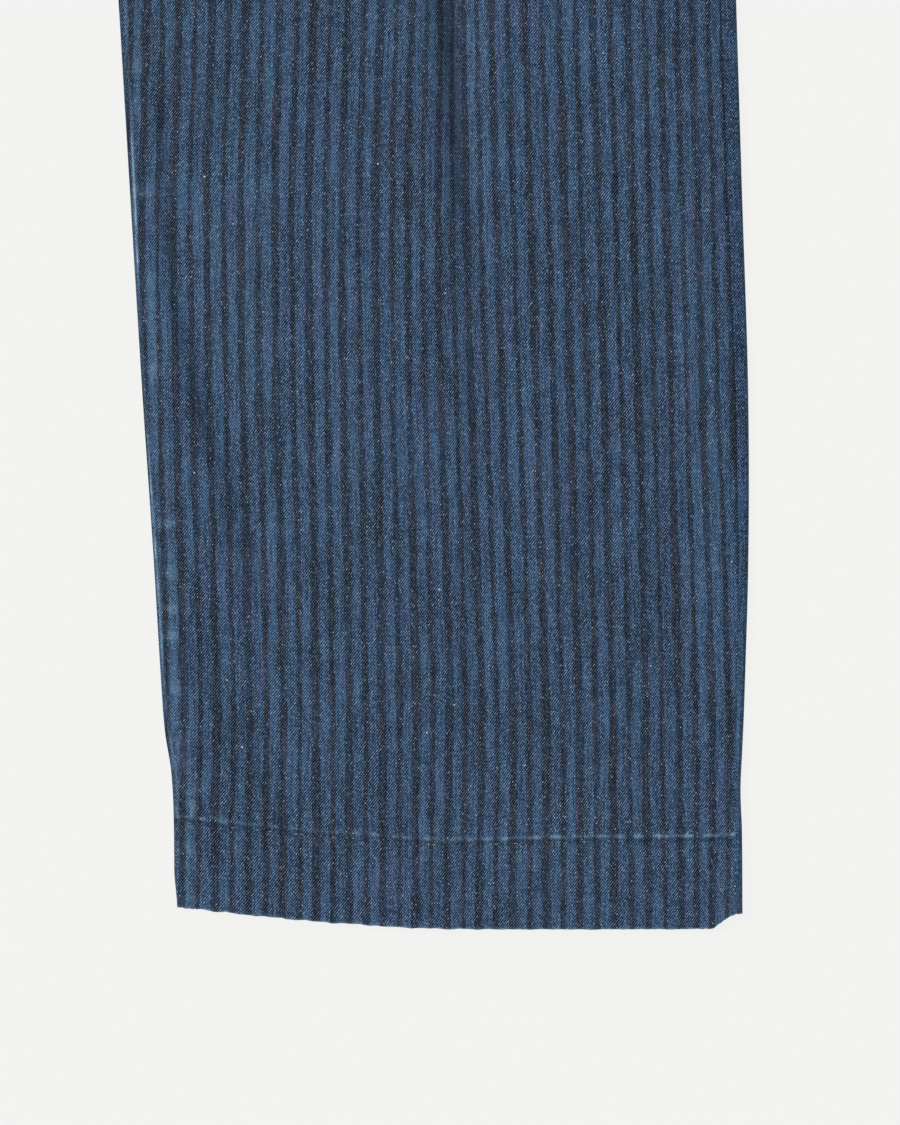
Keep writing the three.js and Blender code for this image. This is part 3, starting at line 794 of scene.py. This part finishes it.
def thread(name, colour, worn):
    """Twisted cotton thread, faded and stained blue by the cloth it is sewn in; shade is painted between
    the twists.
    """
    material, dye = blank_material(name)
    place = dye.node("ShaderNodeTexCoord", {}, {}, 3)
    axes = dye.node("ShaderNodeSeparateXYZ", {}, {"Vector": place})
    x, y = axes / MM, axes.also(1) / MM
    faded = dye.cloudy(x / 6.0, y / 6.0, 3.0, 2.0).above(0.35, 0.65)
    twist = ((x + y) / 0.42).fraction()
    shade = faded.colour_mix(colour, worn)
    # painted shade in the furrows between the twists
    shade = ((twist - 0.5).size() * 0.5).colour_mix(shade, (0.05, 0.045, 0.05))
    bump = dye.node("ShaderNodeBump", {}, {"Strength": 0.6, "Distance": 0.0001, "Height": twist})
    values = {"Base Color": shade, "Roughness": 0.75, "Normal": bump, "Specular IOR Level": 0.25}
    finish_material(dye, values)
    return material


tan_thread = thread("tan_thread", (0.34, 0.30, 0.23), (0.25, 0.28, 0.29))


def stitches(name, lines, pitch=2.7, length=1.75, radius=0.3, material=tan_thread):
    """Sewn lines: a short rounded stitch every few millimetres along each line of (x, y, z, up) points
    in millimetres, where up is 1 on top of the cloth and -1 under it."""
    mesh = bpy.data.meshes.new(name)
    whole = bmesh.new()
    for line in lines:
        bm = bmesh.new()
        travelled, due = 0.0, pitch / 2
        for a, b in zip(line, line[1:]):
            start, end = Vector(a[:3]), Vector(b[:3])
            step = end - start
            while due <= travelled + step.length:
                middle = start + step * ((due - travelled) / step.length)
                along = step.normalized()
                up = Vector((0, 0, a[3])).cross(along).cross(along) * -1
                up.normalize()
                tilt = 0.06 * noise.noise(middle * 0.9)
                along = (along + along.cross(up) * tilt).normalized()
                aside = up.cross(along)
                scale = Matrix.Diagonal((radius, radius * 0.8, length / 2)).to_4x4()
                turn = Matrix((aside, up, along)).transposed().to_4x4()
                place = Matrix.Translation(spot(*middle)) @ Matrix.Scale(MM, 4) @ turn @ scale
                bmesh.ops.create_uvsphere(bm, u_segments=6, v_segments=4, radius=1.0, matrix=place)
                due += pitch * (1 + 0.08 * noise.noise(middle * 1.7))
            travelled += step.length
        for face in bm.faces:
            face.smooth = True
        bm.to_mesh(mesh)
        bm.free()
        whole.from_mesh(mesh)
    whole.to_mesh(mesh)
    whole.free()
    sewn = bpy.data.objects.new(name, mesh)
    bpy.context.collection.objects.link(sewn)
    sewn.data.materials.append(material)
    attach(sewn, "root")
    return sewn


def on_front(side, path, uneven=0.0):
    """A line of stitches on a front panel's face, through points (x, v). Uneven ones stray from the
    line and sink into the cloth here and there."""
    line = []
    for x, v in path:
        x, y, z, wear, groove = front_face(x, leg_at(v + 0.9 * uneven * wave(x, 0, 1.9, 23.0)), side)
        z -= uneven * (0.42 + 0.9 * wave(x, v, 3.1, 21.0))
        line.append((x if side == "left" else -x, y, z, 1))
    return line


def front_stitches(side):
    """The hem's line, two along the pocket's mouth and, on the left, two round the fly and down the
    centre seam."""
    across = [59.5 + 0.9 * i for i in range(261)]
    lines = [on_front(side, [(x, hem_stitch_v(x)) for x in across], 0.5)]
    up_mouth = [POCKET_END + 3.4 * i for i in range(42)]
    for inset in MOUTH_SEWN:
        path = [(pocket_mouth(v) - inset / MOUTH_SLANT, v) for v in up_mouth if v > POCKET_END + 4 + inset]
        lines.append(on_front(side, path))
    if side == "left":
        for inset in (3.0, 8.0):
            up_fly = [FLY_END - 17 + inset + 4 * i for i in range(46)]
            curve = [(fly_width(v) - inset, v) for v in up_fly if v < WAIST_SEAM - 1]
            lines.append(on_front(side, [point for point in curve if point[0] > -2]))
        lines.append(on_front(side, [(1.9, INSEAM + 2 + 4 * i) for i in range(18)]))
        lines.append(on_front(side, [(6.6, INSEAM + 6 + 4 * i) for i in range(17)]))
    return stitches(f"front_stitches_{side}", lines)


for side, seed in (("left", 0.0), ("right", 20.0)):
    front = front_panel(side)
    front.data.materials.append(striped_denim(f"striped_denim_{side}_front", seed=seed))
    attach(front, "root")
    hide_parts(f"front_{side}")
    sewn = front_stitches(side)
    leg_area(0.985)

# Back leg panels. The same cloth, lying flat underneath and rolled over to the front along the
# outseam, where a plain seam joins it to the front panel.
BACK_LEVELS = levels(*HEM_FOLD, (4, 32, 4.0), (32, 44, 1.2), (44, 400, 4.0), (400, PANEL_TOP, 7.0))
TOP_COLUMNS = 4
BENT_COLUMNS = 12
UNDER_COLUMNS = 36
CLOSE_COLUMNS = 5


def back_panel(side):
    rows = [leg_at(v) for v in BACK_LEVELS]
    under_from = TOP_COLUMNS + BENT_COLUMNS
    close_from = under_from + UNDER_COLUMNS
    bm, places = cloth_grid(close_from + CLOSE_COLUMNS, BACK_LEVELS)
    seed, aside, down = (31.0, 0, 0) if side == "left" else (37.0, 14, 22)

    def point_of(column, level):
        row = rows[level]
        v = row.v
        radius = row.edge / 2
        bend = row.outer - radius
        inner_radius = (row.edge - SEAM_GAP) / 2
        opened = opened_at(v)
        close = lerp(row.inner + inner_radius, SEAM_GAP / 2 + 1.5, opened)
        start = row.outseam + TOUCH
        wear, groove = 0.0, 0.0
        if column <= TOP_COLUMNS:
            t = column / TOP_COLUMNS
            x, z, arc = lerp(start, bend, t), row.edge, (bend - start) * t
            lip = ramp(0.4, 0, t) * lerp(0.1, 1.0, ramp(90, 240, v))
            z -= 0.18 * lip
            # painted shade in the dip beside the seam
            groove = 0.05 * lip
            wear = 0.14 * ramp(160, 110, v)
        elif column <= under_from:
            angle = math.pi * (column - TOP_COLUMNS) / BENT_COLUMNS
            x = bend + radius * math.sin(angle)
            z = radius * (1 + math.cos(angle))
            arc = bend - start + radius * angle
            # paler on the roll's outer side: edge wear, and painted light where that side faces away from
            # the lamp
            wear = 0.6 * math.sin(angle) ** 2
        elif column <= close_from:
            t = (column - under_from) / UNDER_COLUMNS
            x = lerp(bend, close, t)
            # painted shade in the hollows of the back's creases
            z, groove, wear = crease_form("back", x + aside, v - down)
            z = -z * ramp(0, 0.08, t) * ramp(1, 0.92, t)
            arc = bend - start + radius * math.pi + bend - x
        else:
            t = (column - close_from) / CLOSE_COLUMNS
            angle = math.pi / 2 * t
            x = lerp(close - inner_radius * math.sin(angle), lerp(close, TOUCH, t), opened)
            z = lerp(inner_radius * (1 - math.cos(angle)), 0.0, opened)
            arc = bend - start + radius * math.pi + bend - close + inner_radius * angle
            wear = 0.3 * t
        shift = lerp(BACK_RISE, -FRONT_DIP, ramp(0, row.edge, z))
        beat = wave(0, v, 8.0, seed) * ramp(0, 1.5, z)
        z += 0.25 * beat
        wear = max(0.0, wear + 0.5 * wear * beat)
        co = spot(x, length_at(x, row, shift), z, side)
        return SimpleNamespace(co=co, u=arc + 4.4, v=v, wear=wear, groove=groove, thickness=wall_at(v))

    thickness = shape_cloth(bm, places, point_of, side == "right")
    return cloth_piece(f"back_panel_{side}", bm, thickness, HEM_WALL)


for side in ("left", "right"):
    back = back_panel(side)
    denim = striped_denim(f"striped_denim_{side}_back", seed=40.0 + len(side), plain=13.0)
    back.data.materials.append(denim)
    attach(back, "root")
    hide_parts(f"back_{side}")
    row = leg_at(STITCH_RISE)
    across = [lerp(62, 292, i / 60) for i in range(61)]
    under = [(x if side == "left" else -x, length_at(x, row, BACK_RISE), 0.12, -1) for x in across]
    sewn = stitches(f"back_stitches_{side}", [under])
    leg_area(1.04)

# Pocket facings. Hip pieces of the same cloth, seen in the slanted mouths of the hand pockets and
# sewn in at the outseam and the waist.
FACING_LEVELS = levels((POCKET_END + 2, PANEL_TOP, 3.0))
FACING_COLUMNS = 36
FACING_HIDDEN = 14


def facing_piece(side):
    rows = [leg_at(v) for v in FACING_LEVELS]
    bm, places = cloth_grid(FACING_COLUMNS, FACING_LEVELS)
    seed = 51.0 if side == "left" else 57.0

    def point_of(column, level):
        row = rows[level]
        mouth = pocket_mouth(row.v)
        x = lerp(mouth - FACING_HIDDEN, row.outseam - SEAM_GAP / 2, column / FACING_COLUMNS)
        covered = 1 - ramp(mouth + SEAM_GAP, mouth + 9, x)
        from_outseam = row.outseam - x
        z = front_height(x, row, side) - (CLOTH + SEAM_GAP) * covered
        z += (0.3 * wave(x, row.v, 22, seed) - 0.6 * ramp(1.5, 0, from_outseam)) * (1 - covered)
        # painted shade in the furrow at the outseam, and painted shadow where the front's edge covers the
        # facing
        groove = max(0.8 * ramp(1.6, 0, from_outseam), 0.75 * covered)
        co = spot(x, length_at(x, row, -FRONT_DIP), z, side)
        return SimpleNamespace(co=co, u=x + 3, v=row.v, wear=0.08, groove=groove, thickness=CLOTH)

    thickness = shape_cloth(bm, places, point_of, side == "right")
    return cloth_piece(f"pocket_facing_piece_{side}", bm, thickness, CLOTH)


for side in ("left", "right"):
    facing = facing_piece(side)
    denim = striped_denim(f"striped_denim_{side}_facing", tone=0.93, seed=60.0 + len(side))
    facing.data.materials.append(denim)
    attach(facing, "root")
    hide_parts(f"pocket_facing_{side}")

# Waistband. A folded strip cut along the cloth, so the stripes run round the waist, with a sewn line
# at each edge. The right end passes under the left, and the back half shows inside above the front.
BAND_WALL = 2.2
BAND_TOP = 5.9
UNDERLAP = 38.0
UNDERLAP_TOP = 2 * BAND_WALL + SEAM_GAP
OVERLAP_TOP = UNDERLAP_TOP + SEAM_GAP + BAND_WALL
BAND_RADIUS = (BAND_TOP - SEAM_GAP) / 2
BAND_LEVELS = levels((WAIST_SEAM + SEAM_GAP / 2, 987, 0.5), (987, 1023, 2.0), (1023, 1025, 0.5))
BAND_RIM = 7
BAND_COLUMNS = 130
HALF_BAND_COLUMNS = 110
BAND_SEEDS = {"left": 71.0, "right": 77.0}
BAND_SEWN = (2.6, BAND_DEPTH - 2.6)


def band_height(x, side):
    if side == "left":
        return lerp(OVERLAP_TOP, BAND_TOP, ramp(UNDERLAP + 4, 66, x))
    return lerp(UNDERLAP_TOP, BAND_TOP, ramp(6, 20, x))


def band_relief(x, rise, seed):
    """Rounded edges, a sunk line of stitches along each, and the puckers between them, with their
    wear and the shade painted in the sunk lines.
    """
    edge = min(rise, BAND_DEPTH - rise)
    sewn = bell(edge - BAND_SEWN[0], 0.7)
    height = -0.7 * (1 - math.sqrt(1 - max(0.0, 1 - edge / 1.1) ** 2)) - 0.28 * sewn
    height += 0.28 * wave(x, rise * 0.25, 6.5, seed) * ramp(0, 3, edge) * ramp(9, 4, edge)
    height += 0.25 * wave(x, rise, 24, seed + 2)
    wear = 0.45 * bell(edge - 0.5, 1.0)
    wear += 0.25 * max(0.0, wave(x, rise * 0.25, 6.5, seed)) * ramp(9, 3, edge)
    # painted shade in the sunk sewn lines
    return height, wear, 0.35 * sewn


def front_band(side, start):
    rows = [leg_at(v) for v in BAND_LEVELS]
    bm, places = cloth_grid(BAND_COLUMNS + BAND_RIM, BAND_LEVELS)

    def point_of(column, level):
        row = rows[level]
        rise = row.v - WAIST_SEAM
        end = row.outer - BAND_RADIUS
        x = lerp(start, end, min(1.0, column / BAND_COLUMNS))
        height, wear, groove = band_relief(x, rise, BAND_SEEDS[side])
        z = band_height(x, side) + height - 0.5 * ramp(start + 1.2, start, x)
        angle = math.pi / 2 * max(0, column - BAND_COLUMNS) / BAND_RIM
        if angle:
            z = SEAM_GAP + BAND_RADIUS + (BAND_RADIUS + height) * math.cos(angle)
            x = end + (BAND_RADIUS + height) * math.sin(angle)
        co = spot(x, length_at(abs(x), row, -FRONT_DIP), z, side)
        u, v = rise + 5.2, x + BAND_RADIUS * angle
        return SimpleNamespace(co=co, u=u, v=v, wear=wear, groove=groove, thickness=BAND_WALL)

    thickness = shape_cloth(bm, places, point_of, side == "right")
    return cloth_piece(f"waistband_front_{side}", bm, thickness, BAND_WALL)


def back_band():
    rows = [leg_at(v) for v in BAND_LEVELS]
    half = HALF_BAND_COLUMNS
    bm, places = cloth_grid(2 * (half + BAND_RIM), BAND_LEVELS)

    def point_of(column, level):
        row = rows[level]
        rise = row.v - WAIST_SEAM
        count = column - half - BAND_RIM
        hand = 1 if count >= 0 else -1
        end = row.outer - BAND_RADIUS
        x = end * min(1.0, abs(count) / half)
        height, wear, groove = band_relief(x * hand, rise, 83.0)
        angle = math.pi / 2 * max(0, abs(count) - half) / BAND_RIM
        z = -height if not angle else BAND_RADIUS * (1 - math.cos(angle))
        x += BAND_RADIUS * math.sin(angle)
        co = spot(x * hand, length_at(x, row, BACK_RISE), z)
        u, v = rise + 5.2, hand * (x + BAND_RADIUS * angle)
        return SimpleNamespace(co=co, u=u, v=v, wear=wear, groove=groove, thickness=BAND_WALL)

    thickness = shape_cloth(bm, places, point_of, True)
    return cloth_piece("waistband_back_half", bm, thickness, BAND_WALL)


def band_line(side, start, rise):
    """A sewn line along a front half of the band, this far above the waist seam."""
    row = leg_at(WAIST_SEAM + rise)
    line = []
    for i in range(101):
        x = lerp(start + 3, row.outer - BAND_RADIUS, i / 100)
        z = band_height(x, side) + band_relief(x, rise, BAND_SEEDS[side])[0]
        line.append((x if side == "left" else -x, length_at(abs(x), row, -FRONT_DIP), z + 0.05, 1))
    return line


def back_band_line(rise):
    row = leg_at(WAIST_SEAM + rise)
    line = []
    for i in range(161):
        x = lerp(-1, 1, i / 160) * (row.outer - BAND_RADIUS)
        line.append((x, length_at(abs(x), row, BACK_RISE), 0.15, -1))
    return line


def buttonhole(x0, x1, rise):
    """Close thread bars down both sides of the slit."""
    row = leg_at(WAIST_SEAM + rise)
    lines = []
    count = 22
    for i in range(count):
        x = lerp(x0, x1, i / (count - 1))
        z = band_height(x, "left") + 0.12
        y = length_at(x, row, -FRONT_DIP)
        for hand in (-1, 1):
            lines.append([(x, y + hand * 0.5, z, 1), (x, y + hand * 2.1, z, 1)])
    return lines


band_denim = striped_denim("striped_denim_band", seed=70.0)
BAND_STARTS = {"left": -FLY_LAP, "right": -UNDERLAP}
for side in ("left", "right"):
    band = front_band(side, BAND_STARTS[side])
    band.data.materials.append(band_denim)
    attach(band, "root")
    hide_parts(f"waistband_{side}")
    lines = [band_line(side, BAND_STARTS[side], rise) for rise in BAND_SEWN]
    sewn = [stitches(f"band_stitches_{side}", lines)]
    if side == "left":
        sewn.append(stitches("buttonhole_bars", buttonhole(19.0, 31.0, BAND_DEPTH / 2), 1.6, 1.7, 0.24))

band = back_band()
band.data.materials.append(band_denim)
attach(band, "root")
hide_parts("waistband_back")
sewn = stitches("band_stitches_back", [back_band_line(rise) for rise in BAND_SEWN])

# Belt loops. Folded strips of the same cloth, with a sewn line down each edge and a bar of close
# stitches at each end, where they are caught to the band.
LOOP_PLACES = [-182, -84, 84, 182]
LOOP_WIDTH = 12.0
LOOP_LEVELS = levels((-14, -12, 1.0), (-12, 38.5, 1.6), (38.5, 40.5, 1.0))
LOOP_COLUMNS = 14


def loop_point(place, share, rise):
    """A point on a loop's face: x, y, z, and how far it is from the strip's edge."""
    side = "left" if place > 0 else "right"
    x = place + share * LOOP_WIDTH
    row = leg_at(WAIST_SEAM + rise)
    seam_row = leg_at(WAIST_SEAM)
    panel = front_height(abs(x), seam_row, side)
    band = band_height(abs(place) - LOOP_WIDTH, side)
    under = lerp(panel, max(panel, band), ramp(-8, -2, rise))
    edge = (0.5 - abs(share)) * LOOP_WIDTH
    height = 0.35 * ramp(0, 2.4, edge) - 0.7 * (1 - math.sqrt(1 - max(0.0, 1 - edge / 0.9) ** 2))
    height -= 0.28 * bell(edge - 2.2, 0.6) + 0.5 * ramp(-12.4, -14, rise) + 0.5 * ramp(39, 40.5, rise)
    height += 0.12 * wave(place, rise, 7.0, 5.0)
    return x, length_at(abs(x), row, -FRONT_DIP), under + SEAM_GAP + CLOTH + height, edge


for number, place in enumerate(LOOP_PLACES, 1):
    bm, places = cloth_grid(LOOP_COLUMNS, LOOP_LEVELS)

    def point_of(column, level):
        rise = LOOP_LEVELS[level]
        share = column / LOOP_COLUMNS - 0.5
        x, y, z, edge = loop_point(place, share, rise)
        return SimpleNamespace(
            co=spot(x, y, z),
            u=share * LOOP_WIDTH + 90 + 3.2 * number,
            v=rise + 60 * number,
            wear=0.5 * bell(edge - 0.4, 0.8) + 0.12,
            # painted shade in the sunk sewn lines
            groove=0.3 * bell(edge - 2.2, 0.6),
            thickness=CLOTH,
        )

    thickness = shape_cloth(bm, places, point_of, False)
    loop = cloth_piece(f"loop_{number}", bm, thickness, CLOTH)
    loop.data.materials.append(band_denim)
    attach(loop, "root")
    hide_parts(f"belt_loop_{number}")
    lines = []
    for share in (-0.31, 0.31):
        lines.append([(*loop_point(place, share, -13 + i * 1.3)[:3], 1) for i in range(41)])
    for rise in (-12.6, -12.0, -11.4, 37.2, 37.8, 38.4):
        lines.append([(*loop_point(place, -0.42 + i * 0.14, rise)[:3], 1) for i in range(7)])
    sewn = stitches(f"loop_stitches_{number}", lines, 1.9, 1.7, 0.26)

# Waist button. A turned brass cap with a raised rim and a dished face, darkened by wear.
BUTTON_X = 13.0
BUTTON_PROFILE_COLUMNS = ["radius", "height"]
BUTTON_PROFILE = [
    (0, 0), (7.4, 0), (8.1, 0.25), (8.45, 0.7), (8.5, 1.4), (8.4, 2.0), (8.05, 2.45), (7.6, 2.7),
    (7.1, 2.75), (6.6, 2.62), (6.2, 2.35), (5.9, 2.05), (5.5, 1.9), (4.6, 1.92), (4.3, 2.05),
    (4.0, 2.1), (3.7, 2.05), (3.4, 1.92), (2.0, 1.8), (0, 1.76),
]
bm = bmesh.new()
button_y = length_at(BUTTON_X, leg_at(WAIST_SEAM + BAND_DEPTH / 2), -FRONT_DIP)
centre = spot(BUTTON_X, button_y, OVERLAP_TOP + SEAM_GAP)
outline = records(BUTTON_PROFILE, BUTTON_PROFILE_COLUMNS)
points = [bm.verts.new(centre + Vector((point.radius, 0, point.height)) * MM) for point in outline]
profile = [bm.edges.new(pair) for pair in zip(points, points[1:])]
bmesh.ops.spin(
    bm, geom=points + profile, cent=centre, axis=(0, 0, 1), angle=2 * math.pi, steps=64, use_merge=True
)
bmesh.ops.remove_doubles(bm, verts=bm.verts[:], dist=0.00001)
bmesh.ops.recalc_face_normals(bm, faces=bm.faces[:])
for face in bm.faces:
    face.smooth = True
button = to_object("button_cap", bm)

brass, dye = blank_material("darkened_brass")
place = dye.node("ShaderNodeTexCoord", {}, {}, 3)
axes = dye.node("ShaderNodeSeparateXYZ", {}, {"Vector": place})
x, y = axes / MM, axes.also(1) / MM
height = (axes.also(2) / MM - (OVERLAP_TOP + SEAM_GAP)).above(1.7, 2.7)
tarnish = dye.cloudy(x / 1.6, y / 1.6, 2.0, 4.0)
rubbed = height * 0.7 + (tarnish - 0.5) * 0.9
scratch = dye.cloudy(x / 0.15, (y - x * 0.3) / 3.0, 4.0, 1.0)
shade = rubbed.above(0.1, 0.8).colour_mix((0.085, 0.060, 0.036), (0.42, 0.28, 0.13))
bump = dye.node("ShaderNodeBump", {}, {"Strength": 0.25, "Distance": 0.0001, "Height": scratch + tarnish})
values = {"Base Color": shade, "Metallic": 1.0, "Roughness": 0.5 - rubbed * 0.15, "Normal": bump}
finish_material(dye, values)
button.data.materials.append(brass)
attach(button, "root")
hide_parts("waist_button")

# Surface under the trousers and the light: a plain pale table under one broad soft lamp at the
# upper left and an even fill.
FLOOR_REACH = 40.0
FLOOR_DROP = 0.0004
bm = bmesh.new()
bmesh.ops.create_grid(bm, x_segments=1, y_segments=1, size=FLOOR_REACH)
bmesh.ops.translate(bm, vec=(0, 0, -FLOOR_DROP), verts=bm.verts[:])
floor = to_object("floor", bm)
paper = bpy.data.materials.new("pale_table")
paper.use_nodes = True
paper_nodes = paper.node_tree.nodes["Principled BSDF"]
paper_nodes.inputs["Base Color"].default_value = (0.04, 0.04, 0.04, 1)
paper_nodes.inputs["Roughness"].default_value = 1.0
paper_nodes.inputs["Specular IOR Level"].default_value = 0.0
paper_nodes.inputs["Emission Color"].default_value = (1.0, 1.0, 0.983, 1)
paper_nodes.inputs["Emission Strength"].default_value = 0.856
floor.data.materials.append(paper)

world = bpy.data.worlds.new("soft_room")
bpy.context.scene.world = world
world.use_nodes = True
world.node_tree.nodes["Background"].inputs["Color"].default_value = (1.0, 1.0, 1.0, 1)
world.node_tree.nodes["Background"].inputs["Strength"].default_value = 0.39

lamp = bpy.data.lights.new("broad_lamp", "SUN")
lamp.angle = math.radians(28)
lamp.energy = 2.55
lamp_object = bpy.data.objects.new("broad_lamp", lamp)
bpy.context.collection.objects.link(lamp_object)
lamp_object.rotation_euler = Vector((1.0, -0.5, -0.9)).to_track_quat("-Z", "Y").to_euler()

# Camera: straight above the lower part of the wearer's left leg.
VIEW_X = 173.5
VIEW_Y = 154.7
VIEW_HEIGHT = 476.2
LENS = 100.0
SENSOR = 36.0
camera = bpy.data.cameras.new("above")
camera.lens = LENS
camera.sensor_width = SENSOR
camera.clip_end = 50
camera_object = bpy.data.objects.new("above", camera)
bpy.context.collection.objects.link(camera_object)
camera_object.location = spot(VIEW_X, VIEW_Y, VIEW_HEIGHT * LENS / SENSOR)
bpy.context.scene.camera = camera_object
bpy.context.scene.view_settings.view_transform = "Standard"
bpy.context.scene.view_settings.look = "None"
bpy.context.scene.cycles.denoising_prefilter = "NONE"  # keeps the weave sharp
